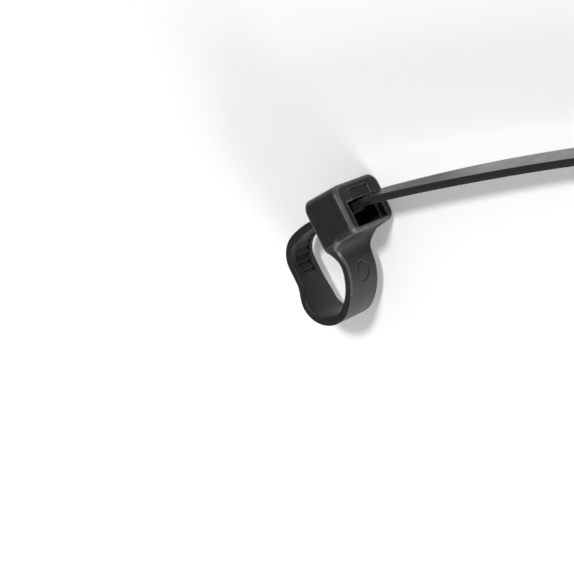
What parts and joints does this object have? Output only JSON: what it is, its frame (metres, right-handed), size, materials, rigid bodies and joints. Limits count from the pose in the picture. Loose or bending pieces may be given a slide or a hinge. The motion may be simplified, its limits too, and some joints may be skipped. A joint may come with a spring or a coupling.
{
  "type": "cable tie",
  "caption": "Self-locking cable tie, closed in a loose loop: block head with window and pawl, smooth neck, toothed strap drawn through the head, and a long curved tail with a tapered tip.",
  "frame": {"origin": "centre of the round bend at the bottom of the loop, where a cable sits, in the strap's middle plane", "axes": "+Z along the loop's axis and the cable's; +X the way the tail runs out of the head's front face; +Y from the loop's round bend up towards the head's top. The tie lies on its -Z side."},
  "size_m": [0.0878, 0.031, 0.0092],
  "materials": {
    "nylon": "satin moulded black nylon"
  },
  "bodies": {
    "root": {"cable_tie": "nylon"}
  },
  "joints": []
}
